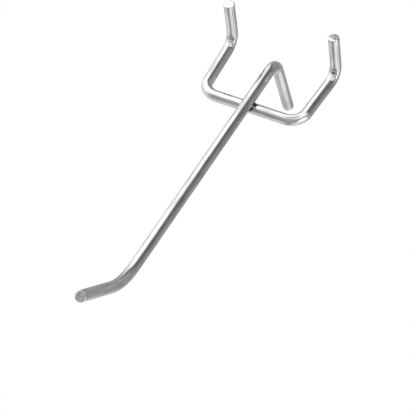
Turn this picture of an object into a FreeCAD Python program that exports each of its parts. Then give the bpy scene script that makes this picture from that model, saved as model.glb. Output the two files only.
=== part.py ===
import FreeCAD, Part

import math
import os

import Sketcher

# A double-prong pegboard hook, bent from two lengths of round wire that are welded where they cross.
#
# The prong bracket is a U: its crossbar runs along X, its two arms run back through two holes of the
# board, splaying a little, and its ends turn up behind the board. The hook arm is one wire across the
# middle of the crossbar: in front a straight rail with an upturned tip, behind a leg that turns down
# and lies flat on the face of the board below the holes.
#
# Each body is drawn with the crossbar's middle at its origin, the arms along +Y and the rail on top.
# Its placement then tips it to the way the hook hangs: the leg upright, its back on the board's face,
# which is the plane Y = 0, and the origin midway between the two holes. Millimetres and degrees.

DRIVING_SIZES = (
    ("wire_dia", 2.5, "diameter of both wires"),
    ("prong_centres", 25.4, "between the prongs, one pitch of the board"),
    ("arm_reach", 16.5, "from the crossbar back to the prongs"),
    ("arm_splay", 3.1, "angle by which each arm opens outwards"),
    ("corner_bend", 3.6, "radius of the axis where the crossbar turns into an arm"),
    ("prong_bend", 3.2, "radius of the axis where an arm turns up"),
    ("prong_turn", 92.0, "angle that a prong is turned up from its arm"),
    ("prong_straight", 8.4, "straight part of a prong"),
    ("rail_front", 51.0, "straight rail in front of the crossbar"),
    ("rail_back", 9.4, "straight rail behind the crossbar"),
    ("leg_bend", 3.8, "radius of the axis where the rail turns down"),
    ("leg_turn", 77.5, "angle that the leg is turned down from the rail"),
    ("leg_straight", 15.4, "straight part of the leg"),
    ("tip_bend", 13.5, "radius of the axis where the rail turns up"),
    ("tip_turn", 40.5, "angle that the tip is turned up from the rail"),
    ("tip_straight", 13.9, "straight part of the tip"),
    ("weld_sink", 0.2, "depth by which the weld presses the rail into the crossbar"),
    ("weld_dia", 2.2, "spot of metal squeezed out between the two wires"),
    ("end_chamfer", 0.2, "bevel on the cut ends of the wires"),
)

RAIL_LEVEL = "(Sizes.wire_dia - Sizes.weld_sink)"
ARM_ANGLE = "Sizes.arm_splay * 1deg"
PRONG_TANGENT = "Sizes.prong_bend * tan(Sizes.prong_turn / 2 * 1deg)"
ARM_END_X = f"Sizes.prong_centres / 2 - {PRONG_TANGENT} * sin({ARM_ANGLE})"
ARM_END_Y = f"Sizes.arm_reach - {PRONG_TANGENT} * cos({ARM_ANGLE})"
LEG_ANGLE = "Sizes.leg_turn * 1deg"
BOARD_FACE = (
    f"(Sizes.rail_back * sin({LEG_ANGLE}) + ({RAIL_LEVEL} - Sizes.leg_bend) * cos({LEG_ANGLE})"
    " + Sizes.leg_bend + Sizes.wire_dia / 2)"
)


def make_sheet(doc):
    """The spreadsheet of driving sizes, one alias a row."""
    sheet = doc.addObject("Spreadsheet::Sheet", "Sizes")
    for row, (alias, value, note) in enumerate(DRIVING_SIZES, start=1):
        sheet.set(f"A{row}", alias)
        sheet.set(f"B{row}", str(value))
        sheet.set(f"C{row}", note)
        sheet.setAlias(f"B{row}", alias)
    doc.recompute()
    return sheet


def origin_plane(body, role):
    """One of the body's own origin planes."""
    return next(plane for plane in body.Origin.OriginFeatures if plane.Role == role)


def new_sketch(body, name, role):
    """An empty sketch on an origin plane of its body."""
    sketch = body.newObject("Sketcher::SketchObject", name)
    sketch.AttachmentSupport = [(origin_plane(body, role), "")]
    sketch.MapMode = "FlatFace"
    return sketch


def new_upright_sketch(body, name, role, offsets):
    """An empty sketch that stands at the end of an arm, turned with the arm's splay."""
    sketch = new_sketch(body, name, role)
    upright = FreeCAD.Vector(0, 1, 0)
    sketch.AttachmentOffset = FreeCAD.Placement(
        FreeCAD.Vector(), FreeCAD.Rotation(upright, -body.Document.Sizes.arm_splay)
    )
    sketch.setExpression("AttachmentOffset.Rotation.Angle", f"-{ARM_ANGLE}")
    for axis, expression in offsets.items():
        sketch.setExpression(f"AttachmentOffset.Base.{axis}", expression)
    return sketch


def start_of(item):
    """The start of a sketch's line or arc, the way its constraints name it."""
    return item, 1


def end_of(item):
    return item, 2


def centre_of(item):
    return item, 3


def sketch_origin():
    """A sketch's own origin, which is the start of its horizontal axis."""
    return -1, 1


def constrain(sketch, kind, *where):
    sketch.addConstraint(Sketcher.Constraint(kind, *where))


def put_on_horizontal_axis(sketch, point):
    constrain(sketch, "PointOnObject", *point, -1)


def put_on_vertical_axis(sketch, point):
    constrain(sketch, "PointOnObject", *point, -2)


def dimension(sketch, kind, where, value, expression):
    """A dimension of the sketch that follows an expression on the sheet."""
    index = sketch.addConstraint(Sketcher.Constraint(kind, *where, value))
    sketch.setExpression(f"Constraints[{index}]", expression)


def add_circle(sketch, diameter, expression, height=None):
    """A circle about the sketch's origin, or at a (value, expression) height above it."""
    centre_y = height[0] if height else 0
    axis = FreeCAD.Vector(0, 0, 1)
    circle = sketch.addGeometry(Part.Circle(FreeCAD.Vector(0, centre_y, 0), axis, diameter / 2))
    put_on_vertical_axis(sketch, centre_of(circle))
    if height:
        dimension(sketch, "DistanceY", (*sketch_origin(), *centre_of(circle)), *height)
    else:
        put_on_horizontal_axis(sketch, centre_of(circle))
    dimension(sketch, "Diameter", (circle,), diameter, expression)


def add_line(sketch, start, end):
    return sketch.addGeometry(Part.LineSegment(FreeCAD.Vector(*start, 0), FreeCAD.Vector(*end, 0)))


def add_bend(sketch, centre, radius, first, last, expression):
    """An arc of a path, counter-clockwise from its first angle to its last."""
    circle = Part.Circle(FreeCAD.Vector(*centre, 0), FreeCAD.Vector(0, 0, 1), radius)
    bend = sketch.addGeometry(Part.ArcOfCircle(circle, math.radians(first), math.radians(last)))
    dimension(sketch, "Radius", (bend,), radius, expression)
    return bend


def add_pipe(body, name, section, path):
    """The wire's section carried along a path."""
    pipe = body.newObject("PartDesign::AdditivePipe", name)
    pipe.Profile = section
    pipe.Spine = (path, [f"Edge{index + 1}" for index in range(path.GeometryCount)])
    body.Document.recompute()
    return pipe


def wire_section(sketch, sizes, height=None):
    add_circle(sketch, sizes.wire_dia, "Sizes.wire_dia", height)
    return sketch


def rail_level(sizes):
    """Height of the rail's axis above the crossbar's, as a value and an expression."""
    return sizes.wire_dia - sizes.weld_sink, RAIL_LEVEL


def rail_path(body, sizes, way, run, bend, turn, straight):
    """Half of the hook arm in the YZ plane: back (way 1) and down, or forward (way -1) and up."""
    name = "leg_path" if way > 0 else "tip_path"
    sketch = new_sketch(body, name, "YZ_Plane")
    level, level_expression = rail_level(sizes)
    run_length, radius, angle, length = (getattr(sizes, alias) for alias in (run, bend, turn, straight))
    radians = math.radians(angle)
    bend_y = way * (run_length + radius * math.sin(radians))
    bend_z = level - way * radius * (1 - math.cos(radians))
    end_y = bend_y + way * length * math.cos(radians)
    end_z = bend_z - way * length * math.sin(radians)
    quarter = 90 * way
    rail = add_line(sketch, (0, level), (way * run_length, level))
    centre = (way * run_length, level - way * radius)
    arc = add_bend(sketch, centre, radius, quarter - angle, quarter, f"Sizes.{bend}")
    last = add_line(sketch, (bend_y, bend_z), (end_y, end_z))
    constrain(sketch, "Horizontal", rail)
    put_on_vertical_axis(sketch, start_of(rail))
    constrain(sketch, "Tangent", *end_of(rail), *end_of(arc))
    constrain(sketch, "Tangent", *start_of(arc), *start_of(last))
    dimension(sketch, "DistanceY", (*sketch_origin(), *start_of(rail)), level, level_expression)
    dimension(sketch, "Distance", (rail,), run_length, f"Sizes.{run}")
    dimension(sketch, "Distance", (last,), length, f"Sizes.{straight}")
    slope = f"{90 - quarter}deg - Sizes.{turn} * 1deg"
    dimension(sketch, "Angle", (last,), math.radians(90 - quarter - angle), slope)
    return sketch


def arm_path(body, sizes):
    """Half of the crossbar, a corner and an arm, in the XY plane."""
    sketch = new_sketch(body, "arm_path", "XY_Plane")
    splay = math.radians(sizes.arm_splay)
    tangent = sizes.prong_bend * math.tan(math.radians(sizes.prong_turn / 2))
    end_x = sizes.prong_centres / 2 - tangent * math.sin(splay)
    end_y = sizes.arm_reach - tangent * math.cos(splay)
    corner_y = sizes.corner_bend * (1 - math.sin(splay))
    corner_x = end_x - (end_y - corner_y) * math.tan(splay)
    bar_x = corner_x - sizes.corner_bend * math.cos(splay)
    bar = add_line(sketch, (0, 0), (bar_x, 0))
    centre = (bar_x, sizes.corner_bend)
    corner = add_bend(sketch, centre, sizes.corner_bend, -90, -sizes.arm_splay, "Sizes.corner_bend")
    arm = add_line(sketch, (corner_x, corner_y), (end_x, end_y))
    constrain(sketch, "Coincident", *start_of(bar), *sketch_origin())
    constrain(sketch, "Horizontal", bar)
    constrain(sketch, "Tangent", *end_of(bar), *start_of(corner))
    constrain(sketch, "Tangent", *end_of(corner), *start_of(arm))
    dimension(sketch, "Angle", (arm,), math.radians(90) - splay, f"90deg - {ARM_ANGLE}")
    dimension(sketch, "DistanceX", (*sketch_origin(), *end_of(arm)), end_x, ARM_END_X)
    dimension(sketch, "DistanceY", (*sketch_origin(), *end_of(arm)), end_y, ARM_END_Y)
    return sketch


def prong_path(body, sizes):
    """The bend at the end of an arm and the prong, in the upright plane of that arm."""
    sketch = new_upright_sketch(body, "prong_path", "YZ_Plane", {"x": ARM_END_Y, "z": ARM_END_X})
    radius = sizes.prong_bend
    turn = math.radians(sizes.prong_turn)
    start = (radius * math.sin(turn), radius * (1 - math.cos(turn)))
    reach = (sizes.prong_straight * math.cos(turn), sizes.prong_straight * math.sin(turn))
    end = (start[0] + reach[0], start[1] + reach[1])
    bend = add_bend(sketch, (0, radius), radius, -90, sizes.prong_turn - 90, "Sizes.prong_bend")
    prong = add_line(sketch, start, end)
    constrain(sketch, "Coincident", *start_of(bend), *sketch_origin())
    put_on_vertical_axis(sketch, centre_of(bend))
    constrain(sketch, "Tangent", *end_of(bend), *start_of(prong))
    dimension(sketch, "Angle", (prong,), turn, "Sizes.prong_turn * 1deg")
    dimension(sketch, "Distance", (prong,), sizes.prong_straight, "Sizes.prong_straight")
    return sketch


def end_edges(shape, is_end):
    """Names of the round edges whose centre is on a cut end of the wire."""
    return [
        f"Edge{number}"
        for number, edge in enumerate(shape.Edges, start=1)
        if isinstance(edge.Curve, Part.Circle) and is_end(edge.CenterOfMass)
    ]


def chamfer_ends(body, is_end):
    """Bevels the wire's two cut ends."""
    base = body.Tip
    edges = end_edges(base.Shape, is_end)
    if len(edges) != 2:
        raise RuntimeError(f"{body.Label} has {len(edges)} cut ends, not two")
    chamfer = body.newObject("PartDesign::Chamfer", f"{body.Name}_chamfer")
    chamfer.Base = (base, edges)
    chamfer.setExpression("Size", "Sizes.end_chamfer")
    body.Document.recompute()


def place_on_board(body, sizes):
    """Tips the body until the leg is upright and puts its back on the board's face."""
    along_x = FreeCAD.Vector(1, 0, 0)
    tilt = FreeCAD.Rotation(along_x, sizes.leg_turn - 90)
    body.Placement = FreeCAD.Placement(FreeCAD.Vector(), tilt)
    body.setExpression("Placement.Rotation.Angle", f"{LEG_ANGLE} - 90deg")
    body.setExpression("Placement.Base.y", f"-{BOARD_FACE}")
    body.setExpression("Placement.Base.z", f"{BOARD_FACE} / tan({LEG_ANGLE})")


def make_hook_arm(doc, sizes):
    """The long wire: rail, upturned tip and leg."""
    body = doc.addObject("PartDesign::Body", "hook_arm")
    section = wire_section(new_sketch(body, "rail_section", "XZ_Plane"), sizes, rail_level(sizes))
    tip = rail_path(body, sizes, -1, "rail_front", "tip_bend", "tip_turn", "tip_straight")
    add_pipe(body, "front", section, tip)
    leg = rail_path(body, sizes, 1, "rail_back", "leg_bend", "leg_turn", "leg_straight")
    add_pipe(body, "back", section, leg)
    front_end = -sizes.rail_front - sizes.tip_bend * math.sin(math.radians(sizes.tip_turn))
    chamfer_ends(body, lambda centre: centre.y < front_end - sizes.wire_dia
                 or centre.z < -sizes.leg_bend - sizes.wire_dia)
    place_on_board(body, sizes)
    return body


def make_prong_bracket(doc, sizes):
    """The short wire: crossbar, arms and prongs, with the seat that the rail is welded into."""
    body = doc.addObject("PartDesign::Body", "prong_bracket")
    bar_section = wire_section(new_sketch(body, "bar_section", "YZ_Plane"), sizes)
    half = add_pipe(body, "half_bar_and_arm", bar_section, arm_path(body, sizes))
    offsets = {"x": ARM_END_X, "z": f"-({ARM_END_Y})"}
    prong_section = wire_section(new_upright_sketch(body, "prong_section", "XZ_Plane", offsets), sizes)
    prong = add_pipe(body, "prong", prong_section, prong_path(body, sizes))

    mirror = body.newObject("PartDesign::Mirrored", "other_half")
    mirror.Originals = [half, prong]
    mirror.MirrorPlane = (origin_plane(body, "YZ_Plane"), [""])
    body.Tip = mirror
    doc.recompute()

    spot_sketch = new_sketch(body, "weld_spot_outline", "XY_Plane")
    add_circle(spot_sketch, sizes.weld_dia, "Sizes.weld_dia")
    spot = body.newObject("PartDesign::Pad", "weld_spot")
    spot.Profile = spot_sketch
    spot.setExpression("Length", RAIL_LEVEL)
    doc.recompute()

    seat_sketch = wire_section(new_sketch(body, "seat_outline", "XZ_Plane"), sizes, rail_level(sizes))
    seat = body.newObject("PartDesign::Pocket", "rail_seat")
    seat.Profile = seat_sketch
    seat.Midplane = True
    seat.setExpression("Length", "2 * Sizes.wire_dia")
    doc.recompute()
    if not seat.Shape.Volume < spot.Shape.Volume:
        raise RuntimeError("the rail's seat cuts nothing")

    chamfer_ends(body, lambda centre: centre.z > sizes.prong_bend + sizes.wire_dia)
    place_on_board(body, sizes)
    return body


def check(doc, bodies):
    """Stops if anything failed to build."""
    for thing in doc.Objects:
        if {"Invalid", "Error"} & set(thing.State):
            raise RuntimeError(f"{thing.Name} failed: {thing.State}")
    for body in bodies:
        if body.Shape.isNull() or not body.Shape.isValid() or len(body.Shape.Solids) != 1:
            raise RuntimeError(f"{body.Label} isn't one valid solid")


def main():
    doc = FreeCAD.newDocument("pegboard_hook")
    sizes = make_sheet(doc)
    bodies = [make_hook_arm(doc, sizes), make_prong_bracket(doc, sizes)]
    doc.recompute()
    check(doc, bodies)
    os.makedirs("parts", exist_ok=True)
    for body in bodies:
        body.Shape.exportStep(f"parts/{body.Label}.step")
        print(f"{body.Label}: {body.Shape.Volume:.1f} cubic millimetres")


main()
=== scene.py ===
import math
from dataclasses import dataclass

import bmesh
import bpy
from mathutils import Euler, Matrix, Vector, noise


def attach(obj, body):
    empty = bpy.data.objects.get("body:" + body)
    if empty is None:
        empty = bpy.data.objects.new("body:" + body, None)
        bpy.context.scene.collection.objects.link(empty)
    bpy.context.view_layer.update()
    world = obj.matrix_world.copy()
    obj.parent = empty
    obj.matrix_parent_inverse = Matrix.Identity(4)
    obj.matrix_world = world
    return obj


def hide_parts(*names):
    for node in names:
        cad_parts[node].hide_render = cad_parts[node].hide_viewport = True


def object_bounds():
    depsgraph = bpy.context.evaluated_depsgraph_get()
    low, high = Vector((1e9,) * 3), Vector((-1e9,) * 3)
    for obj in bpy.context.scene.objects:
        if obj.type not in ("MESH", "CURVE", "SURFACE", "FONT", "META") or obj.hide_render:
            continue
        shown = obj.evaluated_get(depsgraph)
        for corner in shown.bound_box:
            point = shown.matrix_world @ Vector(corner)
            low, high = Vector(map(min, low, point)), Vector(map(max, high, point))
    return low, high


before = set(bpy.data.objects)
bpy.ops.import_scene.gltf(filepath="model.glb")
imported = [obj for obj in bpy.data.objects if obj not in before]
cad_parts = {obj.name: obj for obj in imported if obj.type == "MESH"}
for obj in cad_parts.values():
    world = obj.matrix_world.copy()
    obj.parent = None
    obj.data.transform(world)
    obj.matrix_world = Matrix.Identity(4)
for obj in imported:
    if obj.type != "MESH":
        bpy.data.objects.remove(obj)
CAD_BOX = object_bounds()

# A chromed wire pegboard hook, seen from above its right-hand side.
# Sizes are in metres and degrees. A wire is first drawn with the middle of the crossbar at the
# origin, the arms along +Y and the rail on top, and then tipped to the way the hook hangs.

MM = 0.001

# Sizes of the hook
WIRE_RADIUS = 1.25 * MM
PRONG_CENTRES = 25.4 * MM
ARM_REACH = 16.5 * MM
ARM_SPLAY = 3.1
CORNER_BEND = 3.6 * MM
PRONG_BEND = 3.2 * MM
PRONG_TURN = 92.0
PRONG_STRAIGHT = 8.4 * MM
RAIL_FRONT = 51.0 * MM
RAIL_BACK = 9.4 * MM
LEG_BEND = 3.8 * MM
LEG_TURN = 77.5
LEG_STRAIGHT = 15.4 * MM
TIP_BEND = 13.5 * MM
TIP_TURN = 40.5
TIP_STRAIGHT = 13.9 * MM
WELD_DEPTH = 0.2 * MM
RAIL_LEVEL = 2 * WIRE_RADIUS - WELD_DEPTH
END_BEVEL = 0.2 * MM

# How finely the wires are divided
RING_SIDES = 56
FACE_RINGS = 6
BEVEL_RINGS = 4
RUN_STEP = 0.8 * MM
BEND_STEP = 3.0
FEWEST_BEND_STEPS = 6
WIRE_GIRTH = 2 * math.pi * WIRE_RADIUS

# The map along and round a wire, and the mesh's own record of how deep in a crease each spot is, which
# also sets the painted shade there
WIRE_MAP = "along_the_wire"
CREASE_RECORD = "crevice"

# Marks that the bending leaves. A bend of TIGHT_BEND or less is flattened in full, a wider one less.
# Each crease lies on the inside of a bend and has its place, from -1 at the bend's start to 1 at its
# end, its width and its share of the full depth. Folds of more than CRISP_FOLD degrees stay crisp.
TIGHT_BEND = 3.25 * MM
BEND_FLATTENING = 0.035
CREASE_DEPTH = 0.24 * MM
CREASE_FALLOFF = 3
CRISP_FOLD = 25.0
NO_CREASES = ()
# The same share also darkens the chrome in each crease, as painted shade
LEFT_CREASES = ((-0.10, 0.09, 0.35), (-0.58, 0.10, 0.21))
RIGHT_CREASES = ((0.10, 0.09, 1.0), (0.58, 0.10, 0.60))

# Sheared ends: the way each face leans, as long as its slope in degrees, and its rolled-over edge
LEFT_SHEAR = Vector((-2.0, 1.0, 0))
RIGHT_SHEAR = Vector((0.8, 4.0, 0))
TIP_SHEAR = Vector((3.0, 0, -1.0))
FOOT_SHEAR = Vector((2.0, 3.0, 0))
ROLL_START = 0.45
ROLL_DROP = 0.7 * MM

# The collar of metal that the weld squeezed out: how far it reaches from the weld, how high up the
# wires it climbs, how unevenly, and how hollow its flank is
WELD_CONTACT = Vector((0, 0, RAIL_LEVEL / 2))
BEAD_SIDES = 96
BEAD_RINGS = 11
BEAD_CORE = 0.2 * WIRE_RADIUS
BEAD_REACH = 1.3 * MM
REACH_UNEVENNESS = 0.08
REACH_LUMPS = 2.3
REACH_LAYER = 0.35
BEAD_CLIMB = 58.0
CLIMB_UNEVENNESS = 0.12
CLIMB_LUMPS = 3.1
CLIMB_LAYER = 4.2
BEAD_HOLLOW = 0.30
DROP_FILLING = 0.9 / MM

# The collar's drops: direction round the weld and width in degrees, and extra reach
BEAD_DROPS = (
    (-26.0, 15.0, 0.55 * MM),
    (62.0, 20.0, 0.30 * MM),
    (158.0, 22.0, 0.45 * MM),
    (236.0, 16.0, 0.35 * MM),
)

# The painted shade in the crevice round the weld: where it begins to fade, where it ends and how
# ragged it is
WELD_SHADE_CORE = 1.35 * MM
WELD_SHADE_RIM = 1.85 * MM
WELD_SHADE_RAGGEDNESS = 0.9 * MM

# Greys of the plate, of the painted shade in its creases and round the weld, and of the cut ends, each
# from dull to bright
PLATE_GREYS = ((0.47, 0.47, 0.458), (0.66, 0.66, 0.643))
PAINTED_SHADE_GREY = (0.065, 0.065, 0.063)
BRIGHT_END_GREYS = ((0.50, 0.50, 0.488), (0.72, 0.72, 0.702))
# The second cut end's greys are a darker copy of the first's, painted shade on the right prong's end
# face
SHADED_END_GREYS = ((0.24, 0.24, 0.235), (0.42, 0.42, 0.41))

# Roughness from the smoothest to the roughest spot, and what the painted shade adds
PLATE_ROUGHNESS = (0.03, 0.09)
PAINTED_SHADE_ROUGHNESS = 0.22
END_ROUGHNESS = (0.20, 0.36)

# Uneven patterns: scale, stretch along each axis of the coordinates, and detail
DRAWN_LINES = (9.0, (0.25, 6.0, 1.0), 4.0)
SOFT_WAVES = (1.6, (0.7, 1.6, 1.0), 2.0)
TARNISH = (2.4, (0.5, 2.6, 1.0), 6.0)
WELD_SHADE_RAGS = (1700.0, (1.0, 1.0, 1.0), 4.0)
TORN_GRAIN = (2600.0, (1.0, 0.5, 1.0), 5.0)
END_PATCHES = (1500.0, (1.0, 1.0, 1.0), 4.0)

# Which part of a pattern's values is spread out
MIDDLE_VALUES = (0.3, 0.7)
TARNISH_VALUES = (0.34, 0.56)
PATCH_VALUES = (0.38, 0.62)

# Depths of the fine unevenness
LINE_DEPTH = 0.005 * MM
WAVE_DEPTH = 0.035 * MM
GRAIN_DEPTH = 0.014 * MM

# The camera, as the photograph was taken
CAMERA_PLACE = Vector((190.5, -235.0, 448.5)) * MM
CAMERA_TURN = (29.782, 10.211, 26.666)
CAMERA_LENS = 213.45
SENSOR_WIDTH = 36.0

# The floor, far below the hook, and how much of its white is its own glow to the camera
FLOOR_DROP = 0.30
FLOOR_SIZE = 5.0
FLOOR_GLOW = 0.98
FLOOR_WHITE = 0.95
FLOOR_ROUGHNESS = 0.9


def direction(azimuth, elevation):
    """Unit vector; azimuth 0 is the hook's front, -Y, and 90 its right-hand side, +X."""
    turn, rise = math.radians(azimuth), math.radians(elevation)
    return Vector((math.sin(turn) * math.cos(rise), -math.cos(turn) * math.cos(rise), math.sin(rise)))


# Plain white, and the strength at which the background shows as that white
WHITE = (1.0, 1.0, 1.0, 1.0)
BACKGROUND_WHITE = 1.0

# What the chrome mirrors on the white background: the greys of the room, its cards and its window.
# Each has its direction, the half angles of its core and of its faded rim, and its brightness. A
# later one covers an earlier one.
STUDIO_SIDES = (
    ("grey_room", direction(121, -12), 114, 120, 0.39),
    ("floor_below", direction(-61, -81), 6, 45, 0.81),
    ("window", direction(-140, 60), 10, 94, 1.80),
    ("right_card", direction(74, -6), 13, 35, 2.15),
    ("dark_corner", direction(160, 6), 32, 50, 0.16),
    ("left_card", direction(-111, -23), 2, 18, 1.35),
    ("front_wall", direction(-4, 34), 16, 70, 0.50),
    ("front_card", direction(57, -37), 2, 46, 1.22),
    ("back_wall", direction(162, -15), 13, 57, 0.45),
    ("back_floor", direction(180, -55), 17, 32, 0.54),
    ("ceiling", direction(180, 76), 12, 22, 0.84),
    ("right_wall", direction(101, -12), 6, 20, 0.72),
)


# The way the hook hangs

def hanging_placement():
    """Moves a point from the wires' own frame to the hook's: leg upright, its back on the board."""
    turn = math.radians(LEG_TURN)
    bend = (RAIL_LEVEL - LEG_BEND) * math.cos(turn) + LEG_BEND
    back = RAIL_BACK * math.sin(turn) + bend + WIRE_RADIUS
    shift = Matrix.Translation((0, -back, back / math.tan(turn)))
    return shift @ Matrix.Rotation(turn - math.pi / 2, 4, "X")


HANGING = hanging_placement()


# Bent wires

@dataclass
class Station:
    """A ring's centre, frame and length along the wire. In a bend it also has the bend's inside there,
    how far round the bend it is, how tight the bend is and what creases it has."""

    centre: Vector
    along: Vector
    side: Vector
    length: float
    inside: Vector = None
    progress: float = 0.0
    tightness: float = 0.0
    creases: tuple = NO_CREASES


@dataclass
class CutEnd:
    """A sheared end: its station, the way into the wire, and how its face leans."""

    station: Station
    inwards: Vector
    shear: Vector


def run_stations(start, corner, reach):
    """Stations on the straight run from a station towards a corner, up to where its bend begins."""
    way = corner - start.centre
    along = way.normalized()
    run = way.length - reach
    steps = max(1, round(run / RUN_STEP))
    stations = []
    for step in range(1, steps + 1):
        done = run * step / steps
        stations.append(Station(start.centre + along * done, along, start.side, start.length + done))
    return stations


def bend_stations(start, turn, axis, radius, creases):
    """Stations round the bend that begins at a station."""
    inside = axis.cross(start.along)
    centre = start.centre + inside * radius
    steps = max(FEWEST_BEND_STEPS, round(math.degrees(turn) / BEND_STEP))
    stations = []
    for step in range(1, steps + 1):
        done = turn * step / steps
        spin = Matrix.Rotation(done, 3, axis)
        stations.append(Station(
            centre=centre - spin @ inside * radius,
            along=spin @ start.along,
            side=spin @ start.side,
            length=start.length + radius * done,
            inside=spin @ inside,
            progress=2 * step / steps - 1,
            tightness=min(1.0, TIGHT_BEND / radius) ** 2,
            creases=creases,
        ))
    return stations


def wire_stations(corners, bends):
    """Stations from end to end of a wire. A bend is given by its radius and its creases."""
    along = (corners[1] - corners[0]).normalized()
    stations = [Station(corners[0], along, along.orthogonal().normalized(), 0.0)]
    for index, (radius, creases) in enumerate(bends, start=1):
        before, corner, after = corners[index - 1:index + 2]
        arriving, leaving = (corner - before).normalized(), (after - corner).normalized()
        turn = arriving.angle(leaving)
        stations += run_stations(stations[-1], corner, radius * math.tan(turn / 2))
        axis = arriving.cross(leaving).normalized()
        stations += bend_stations(stations[-1], turn, axis, radius, creases)
    return stations + run_stations(stations[-1], corners[-1], 0.0)


def outwards_at(station, corner):
    """The direction outwards at one corner of a station's ring."""
    angle = 2 * math.pi * corner / RING_SIDES
    return station.side * math.cos(angle) + station.along.cross(station.side) * math.sin(angle)


def crease_share(station, outwards):
    """How deep in a crease a spot on the inside of a bend is, from 0 to 1."""
    if not station.creases:
        return 0.0
    crease = 0.0
    for place, width, share in station.creases:
        crease += share * math.exp(-((station.progress - place) / width) ** 2)
    return crease * max(0.0, outwards.dot(station.inside)) ** CREASE_FALLOFF


def ring_radius(station, outwards):
    """The wire's radius in one direction: a bend flattens it and may leave creases on the inside."""
    if station.inside is None:
        return WIRE_RADIUS
    middle = math.cos(station.progress * math.pi / 2) ** 2
    facing = outwards.dot(station.inside)
    flattened = 1 - BEND_FLATTENING * station.tightness * middle * (2 * facing * facing - 1)
    return WIRE_RADIUS * flattened - CREASE_DEPTH * crease_share(station, outwards)


def rolled_share(spot, shear):
    """How far into its rolled-over edge a spot on a sheared end is; none on the flat of it."""
    return max(0.0, -spot.dot(shear.normalized()) - ROLL_START)


def end_drop(spot, shear):
    """How far a tilted face whose high edge is rolled over lies below its highest point."""
    slope = math.tan(math.radians(shear.length))
    tilted = WIRE_RADIUS * slope * (1 + spot.dot(shear.normalized()))
    return tilted + rolled_share(spot, shear) ** 2 * ROLL_DROP


def end_rings():
    """The rings of a cut end from its middle outwards: share of the wire's radius, and depth."""
    face = 1 - END_BEVEL / WIRE_RADIUS
    rings = [(face * step / FACE_RINGS, 0.0) for step in range(1, FACE_RINGS + 1)]
    for step in range(1, BEVEL_RINGS + 1):
        angle = math.pi / 2 * step / BEVEL_RINGS
        rings.append((face + (1 - face) * math.sin(angle), END_BEVEL * (1 - math.cos(angle))))
    return rings


END_RINGS = end_rings()


def ring_plan(stations, ends):
    """Station, share of the radius, depth and cut end, if any, of each ring along the wire."""
    plan = [(ends[0].station, share, depth, ends[0]) for share, depth in END_RINGS]
    plan += [(station, 1.0, 0.0, None) for station in stations[1:-1]]
    plan += [(ends[1].station, share, depth, ends[1]) for share, depth in reversed(END_RINGS)]
    return plan


def add_ring(mesh, station, share, depth, end):
    """Adds the vertices of one ring, placed as the hook hangs."""
    crease_record = mesh.verts.layers.float[CREASE_RECORD]
    ring = []
    for corner in range(RING_SIDES):
        outwards = outwards_at(station, corner)
        point = station.centre + outwards * ring_radius(station, outwards) * share
        if end:
            point += end.inwards * (depth + end_drop(outwards * share, end.shear))
        vertex = mesh.verts.new(HANGING @ point)
        vertex[crease_record] = crease_share(station, outwards)
        ring.append(vertex)
    return ring


def material_index(ends, row, rows, corner):
    """1 or 2 on the bare flat of the first or the second cut end, and 0 on the plate."""
    for index, (end, ring) in enumerate(zip(ends, (row, rows - 1 - row)), start=1):
        if ring < FACE_RINGS - 1:
            spot = outwards_at(end.station, corner + 0.5) * END_RINGS[ring + 1][0]
            return 0 if rolled_share(spot, end.shear) else index
    return 0


def add_skin(mesh, rings, lengths, ends):
    """Joins the rings with faces, mapped along and round the wire, and closes both ends."""
    wire_map = mesh.loops.layers.uv[WIRE_MAP]
    rows = len(rings) - 1
    for row, (ring, following) in enumerate(zip(rings, rings[1:])):
        for corner in range(RING_SIDES):
            nearby = (corner + 1) % RING_SIDES
            face = mesh.faces.new((ring[corner], ring[nearby], following[nearby], following[corner]))
            face.smooth = True
            face.material_index = material_index(ends, row, rows, corner)
            places = ((row, corner), (row, corner + 1), (row + 1, corner + 1), (row + 1, corner))
            for loop, (along, around) in zip(face.loops, places):
                loop[wire_map].uv = (lengths[along] / WIRE_GIRTH, around / RING_SIDES)
    for index, ring in enumerate((rings[0], rings[-1]), start=1):
        face = mesh.faces.new(ring)
        face.smooth = True
        face.material_index = index


def keep_folds_crisp(mesh):
    """Marks the folds of the creases as sharp, so that the smooth wire doesn't blur them."""
    mesh.normal_update()
    for edge in mesh.edges:
        if edge.calc_face_angle() > math.radians(CRISP_FOLD):
            edge.smooth = False


def sweep_wire(name, corners, bends, shears, materials):
    """A closed mesh of a bent wire with bevelled, sheared ends."""
    stations = wire_stations(corners, bends)
    first, last = stations[0], stations[-1]
    ends = (CutEnd(first, first.along, shears[0]), CutEnd(last, -last.along, shears[1]))
    mesh = bmesh.new()
    mesh.verts.layers.float.new(CREASE_RECORD)
    mesh.loops.layers.uv.new(WIRE_MAP)
    plan = ring_plan(stations, ends)
    rings = [add_ring(mesh, *planned) for planned in plan]
    add_skin(mesh, rings, [station.length for station, *_ in plan], ends)
    bmesh.ops.recalc_face_normals(mesh, faces=mesh.faces)
    keep_folds_crisp(mesh)
    return finish_mesh(name, mesh, materials)


def finish_mesh(name, mesh, materials):
    """Makes the mesh a piece of the hook's one body."""
    data = bpy.data.meshes.new(name)
    mesh.to_mesh(data)
    mesh.free()
    for material in materials:
        data.materials.append(material)
    piece = bpy.data.objects.new(name, data)
    bpy.context.scene.collection.objects.link(piece)
    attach(piece, "root")
    return piece


def hook_arm_corners():
    """Tip, front bend, rear bend and foot of the long wire."""
    tip, leg = math.radians(TIP_TURN), math.radians(LEG_TURN)
    tip_reach = TIP_BEND * math.tan(tip / 2)
    leg_reach = LEG_BEND * math.tan(leg / 2)
    front = Vector((0, -RAIL_FRONT - tip_reach, RAIL_LEVEL))
    rear = Vector((0, RAIL_BACK + leg_reach, RAIL_LEVEL))
    up = Vector((0, -math.cos(tip), math.sin(tip)))
    down = Vector((0, math.cos(leg), -math.sin(leg)))
    end = front + up * (TIP_STRAIGHT + tip_reach)
    foot = rear + down * (LEG_STRAIGHT + leg_reach)
    return end, front, rear, foot


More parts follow.
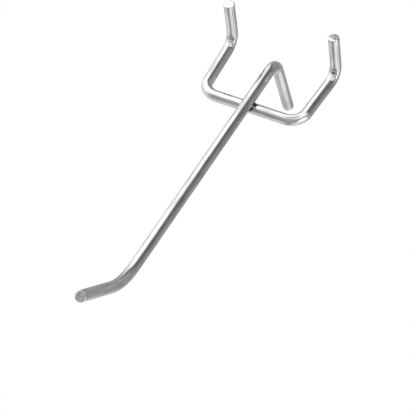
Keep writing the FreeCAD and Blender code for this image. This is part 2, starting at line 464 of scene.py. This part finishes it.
def bracket_corners():
    """Prong, arm, crossbar, arm and prong of the short wire, from left to right."""
    splay, turn = math.radians(ARM_SPLAY), math.radians(PRONG_TURN)
    rise = PRONG_STRAIGHT + PRONG_BEND * math.tan(turn / 2)
    half = PRONG_CENTRES / 2
    ahead = rise * math.cos(turn)
    prong = Vector((ahead * math.sin(splay), ahead * math.cos(splay), rise * math.sin(turn)))
    front = Vector((half - ARM_REACH * math.tan(splay), 0, 0))
    rear = Vector((half, ARM_REACH, 0))
    right = (front, rear, rear + prong)
    left = [Vector((-point.x, point.y, point.z)) for point in reversed(right)]
    return (*left, *right)


# The weld

def drop_at(angle):
    """How much of a drop of squeezed-out metal there is in one direction round the weld."""
    reach = 0.0
    for towards, width, extra in BEAD_DROPS:
        apart = (math.degrees(angle) - towards + 180) % 360 - 180
        reach += extra * math.exp(-(apart / width) ** 2)
    return reach


def bead_flank(angle):
    """Points up the flank of the collar in one direction, from the crossbar to the rail."""
    across, ahead = math.cos(angle), math.sin(angle)
    lump = noise.noise(Vector((across, ahead, REACH_LAYER)) * REACH_LUMPS)
    drop = drop_at(angle)
    reach = BEAD_REACH * (1 + REACH_UNEVENNESS * lump) + drop
    lump = noise.noise(Vector((across, ahead, CLIMB_LAYER)) * CLIMB_LUMPS)
    climb = math.radians(BEAD_CLIMB) * (1 + CLIMB_UNEVENNESS * lump)
    on_crossbar = (WIRE_RADIUS * math.sin(climb * ahead), WIRE_RADIUS * math.cos(climb * ahead))
    on_rail = (WIRE_RADIUS * math.sin(climb * across), WIRE_RADIUS * math.cos(climb * across))
    low = Vector((reach * across, *on_crossbar))
    high = Vector((on_rail[0], reach * ahead, RAIL_LEVEL - on_rail[1]))
    hollow = ((low + high) / 2).lerp(WELD_CONTACT, BEAD_HOLLOW - DROP_FILLING * drop)
    flank = []
    for ring in range(BEAD_RINGS):
        share = ring / (BEAD_RINGS - 1)
        flank.append(low * (1 - share) ** 2 + hollow * 2 * share * (1 - share) + high * share ** 2)
    return flank


def weld_bead(plate):
    """The lumpy collar of metal squeezed out round the spot where the two wires are welded."""
    mesh = bmesh.new()
    flanks = []
    for side in range(BEAD_SIDES):
        flank = bead_flank(2 * math.pi * side / BEAD_SIDES)
        flanks.append([mesh.verts.new(HANGING @ point) for point in flank])
    pairs = list(zip(flanks, flanks[1:] + flanks[:1]))
    for flank, nearby in pairs:
        for ring in range(BEAD_RINGS - 1):
            face = mesh.faces.new((flank[ring], nearby[ring], nearby[ring + 1], flank[ring + 1]))
            face.smooth = True
    for ring, height in ((0, BEAD_CORE), (-1, RAIL_LEVEL - BEAD_CORE)):
        middle = mesh.verts.new(HANGING @ Vector((0, 0, height)))
        for flank, nearby in pairs:
            mesh.faces.new((flank[ring], nearby[ring], middle))
    bmesh.ops.recalc_face_normals(mesh, faces=mesh.faces)
    return finish_mesh("weld_bead", mesh, (plate,))


# Materials

def new_node(tree, kind, **settings):
    """A node of the tree, with its settings and the values of its inputs."""
    node = tree.nodes.new(kind)
    for name, value in settings.items():
        if hasattr(node, name):
            setattr(node, name, value)
        else:
            node.inputs[name.replace("_", " ")].default_value = value
    return node


def new_material(name):
    material = bpy.data.materials.new(name)
    material.use_nodes = True
    return material, material.node_tree, material.node_tree.nodes["Principled BSDF"]


def uneven(tree, coordinates, pattern):
    """A pattern over coordinates that are stretched first, so that its marks can run one way."""
    scale, stretch, detail = pattern
    mapping = new_node(tree, "ShaderNodeMapping", Scale=stretch)
    tree.links.new(coordinates, mapping.inputs["Vector"])
    texture = new_node(tree, "ShaderNodeTexNoise", Scale=scale, Detail=detail)
    tree.links.new(mapping.outputs["Vector"], texture.inputs["Vector"])
    return texture.outputs["Fac"]


def ranged(tree, value, to_values, from_values=MIDDLE_VALUES):
    """The value, spread from one range to another and held at its ends."""
    spread = new_node(
        tree, "ShaderNodeMapRange",
        From_Min=from_values[0], From_Max=from_values[1], To_Min=to_values[0], To_Max=to_values[1],
    )
    tree.links.new(value, spread.inputs["Value"])
    return spread.outputs["Result"]


def sum_of_product(tree, value, factor, added):
    node = new_node(tree, "ShaderNodeMath", operation="MULTIPLY_ADD")
    node.inputs[1].default_value = factor
    tree.links.new(value, node.inputs[0])
    tree.links.new(added, node.inputs[2])
    return node.outputs["Value"]


def larger_of(tree, one, other):
    node = new_node(tree, "ShaderNodeMath", operation="MAXIMUM")
    tree.links.new(one, node.inputs[0])
    tree.links.new(other, node.inputs[1])
    return node.outputs["Value"]


def bumped(tree, height, depth, normal=None):
    bump = new_node(tree, "ShaderNodeBump", Strength=1.0, Distance=depth)
    tree.links.new(height, bump.inputs["Height"])
    if normal:
        tree.links.new(normal, bump.inputs["Normal"])
    return bump.outputs["Normal"]


def mixed_greys(tree, value, dull, bright):
    """Mixes two greys, each a colour or another node's result, by a value."""
    mix = new_node(tree, "ShaderNodeMix", data_type="RGBA")
    tree.links.new(value, mix.inputs["Factor"])
    for socket, grey in ((mix.inputs["A"], dull), (mix.inputs["B"], bright)):
        if isinstance(grey, tuple):
            socket.default_value = (*grey, 1)
        else:
            tree.links.new(grey, socket)
    return mix.outputs["Result"]


def painted_weld_shade(tree):
    """Painted shade in the crevice round the weld, darkest near the weld and fading out with a ragged
    edge.
    """
    place = new_node(tree, "ShaderNodeTexCoord").outputs["Object"]
    away = new_node(tree, "ShaderNodeVectorMath", operation="DISTANCE")
    away.inputs[1].default_value = HANGING @ WELD_CONTACT
    tree.links.new(place, away.inputs[0])
    rags = uneven(tree, place, WELD_SHADE_RAGS)
    ragged = sum_of_product(tree, rags, WELD_SHADE_RAGGEDNESS, away.outputs["Value"])
    mean = WELD_SHADE_RAGGEDNESS / 2
    return ranged(tree, ragged, (1, 0), (WELD_SHADE_CORE + mean, WELD_SHADE_RIM + mean))


def make_chrome():
    """Bright chrome over drawn wire, tarnished in streaks, with painted shade in the creases and round
    the weld.
    """
    material, tree, shader = new_material("chrome_plate")
    shader.inputs["Metallic"].default_value = 1.0
    wire_map = new_node(tree, "ShaderNodeUVMap", uv_map=WIRE_MAP).outputs["UV"]
    # Painted shade: the chrome is darkened to near black in the creases and round the weld
    crease = new_node(tree, "ShaderNodeAttribute", attribute_name=CREASE_RECORD).outputs["Fac"]
    painted_shade_mask = larger_of(tree, crease, painted_weld_shade(tree))
    tarnish = ranged(tree, uneven(tree, wire_map, TARNISH), (0, 1), TARNISH_VALUES)
    plate = mixed_greys(tree, tarnish, *PLATE_GREYS)
    tree.links.new(mixed_greys(tree, painted_shade_mask, plate, PAINTED_SHADE_GREY), shader.inputs["Base Color"])
    lines = uneven(tree, wire_map, DRAWN_LINES)
    polish = sum_of_product(tree, painted_shade_mask, PAINTED_SHADE_ROUGHNESS, ranged(tree, lines, PLATE_ROUGHNESS))
    tree.links.new(polish, shader.inputs["Roughness"])
    waves = bumped(tree, uneven(tree, wire_map, SOFT_WAVES), WAVE_DEPTH)
    tree.links.new(bumped(tree, lines, LINE_DEPTH, waves), shader.inputs["Normal"])
    return material


def make_cut_end(name, greys):
    """The sheared end of the wire under its plate, with torn grain."""
    material, tree, shader = new_material(name)
    shader.inputs["Metallic"].default_value = 1.0
    place = new_node(tree, "ShaderNodeTexCoord").outputs["Object"]
    patches = ranged(tree, uneven(tree, place, END_PATCHES), (0, 1), PATCH_VALUES)
    tree.links.new(mixed_greys(tree, patches, *greys), shader.inputs["Base Color"])
    grain = uneven(tree, place, TORN_GRAIN)
    tree.links.new(ranged(tree, grain, END_ROUGHNESS), shader.inputs["Roughness"])
    tree.links.new(bumped(tree, grain, GRAIN_DEPTH), shader.inputs["Normal"])
    return material


# The studio

def studio_brightness(tree):
    """How bright each direction of the studio is."""
    place = new_node(tree, "ShaderNodeTexCoord").outputs["Generated"]
    covered = None
    for name, towards, core, rim, brightness in STUDIO_SIDES:
        dot = new_node(tree, "ShaderNodeVectorMath", operation="DOT_PRODUCT", label=name)
        dot.inputs[1].default_value = towards
        tree.links.new(place, dot.inputs[0])
        fade = new_node(
            tree, "ShaderNodeMapRange", interpolation_type="SMOOTHSTEP",
            From_Min=math.cos(math.radians(rim)), From_Max=math.cos(math.radians(core)),
        )
        tree.links.new(dot.outputs["Value"], fade.inputs["Value"])
        mix = new_node(tree, "ShaderNodeMix", data_type="FLOAT", A=BACKGROUND_WHITE, B=brightness)
        tree.links.new(fade.outputs["Result"], mix.inputs["Factor"])
        if covered:
            tree.links.new(covered, mix.inputs["A"])
        covered = mix.outputs["Result"]
    return covered


def make_world():
    """A plain white background. The chrome mirrors it with the studio's greys and window over it."""
    world = bpy.data.worlds.new("studio")
    bpy.context.scene.world = world
    world.use_nodes = True
    tree = world.node_tree
    tree.nodes.clear()
    studio = new_node(tree, "ShaderNodeBackground", Color=WHITE)
    tree.links.new(studio_brightness(tree), studio.inputs["Strength"])
    plain = new_node(tree, "ShaderNodeBackground", Color=WHITE, Strength=BACKGROUND_WHITE)
    rays = new_node(tree, "ShaderNodeLightPath")
    seen = larger_of(tree, rays.outputs["Is Camera Ray"], rays.outputs["Is Transmission Ray"])
    either = new_node(tree, "ShaderNodeMixShader")
    tree.links.new(seen, either.inputs["Fac"])
    tree.links.new(studio.outputs["Background"], either.inputs[1])
    tree.links.new(plain.outputs["Background"], either.inputs[2])
    out = new_node(tree, "ShaderNodeOutputWorld")
    tree.links.new(either.outputs["Shader"], out.inputs["Surface"])


def make_floor():
    """A white floor far below the hook, which hangs on its board. The chrome mirrors the studio's own
    lower half in its place."""
    low = CAD_BOX[0][2] - FLOOR_DROP
    half = FLOOR_SIZE / 2
    corners = [(-half, -half, low), (half, -half, low), (half, half, low), (-half, half, low)]
    mesh = bpy.data.meshes.new("floor")
    mesh.from_pydata(corners, [], [(0, 1, 2, 3)])
    floor = bpy.data.objects.new("floor", mesh)
    bpy.context.scene.collection.objects.link(floor)
    material, tree, shader = new_material("floor_white")
    shader.inputs["Base Color"].default_value = (FLOOR_WHITE, FLOOR_WHITE, FLOOR_WHITE, 1)
    shader.inputs["Roughness"].default_value = FLOOR_ROUGHNESS
    glow = new_node(tree, "ShaderNodeEmission", Color=WHITE, Strength=BACKGROUND_WHITE)
    rays = new_node(tree, "ShaderNodeLightPath")
    share = new_node(tree, "ShaderNodeMath", operation="MULTIPLY")
    share.inputs[1].default_value = FLOOR_GLOW
    tree.links.new(rays.outputs["Is Camera Ray"], share.inputs[0])
    mix = new_node(tree, "ShaderNodeMixShader")
    tree.links.new(share.outputs["Value"], mix.inputs["Fac"])
    tree.links.new(shader.outputs["BSDF"], mix.inputs[1])
    tree.links.new(glow.outputs["Emission"], mix.inputs[2])
    tree.links.new(mix.outputs["Shader"], tree.nodes["Material Output"].inputs["Surface"])
    mesh.materials.append(material)
    floor.visible_glossy = False


def make_camera():
    data = bpy.data.cameras.new("camera")
    data.lens = CAMERA_LENS
    data.sensor_width = SENSOR_WIDTH
    camera = bpy.data.objects.new("camera", data)
    camera.location = CAMERA_PLACE
    camera.rotation_euler = Euler([math.radians(angle) for angle in CAMERA_TURN])
    bpy.context.scene.collection.objects.link(camera)
    bpy.context.scene.camera = camera


bpy.context.scene.view_settings.view_transform = "Standard"
chrome = make_chrome()
bright_end = make_cut_end("chrome_cut_end", BRIGHT_END_GREYS)
# A darker copy of the cut end, painted shade for the right prong's end face
shaded_end = make_cut_end("shaded_cut_end", SHADED_END_GREYS)
arm = sweep_wire(
    "hook_arm_wire", hook_arm_corners(), ((TIP_BEND, NO_CREASES), (LEG_BEND, NO_CREASES)),
    (TIP_SHEAR, FOOT_SHEAR), (chrome, bright_end, bright_end),
)
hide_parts("hook_arm")
bracket_bends = (
    (PRONG_BEND, LEFT_CREASES),
    (CORNER_BEND, NO_CREASES),
    (CORNER_BEND, NO_CREASES),
    (PRONG_BEND, RIGHT_CREASES),
)
bracket = sweep_wire(
    "prong_bracket_wire", bracket_corners(), bracket_bends,
    (LEFT_SHEAR, RIGHT_SHEAR), (chrome, bright_end, shaded_end),
)
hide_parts("prong_bracket")
weld_bead(chrome)
make_world()
make_floor()
make_camera()
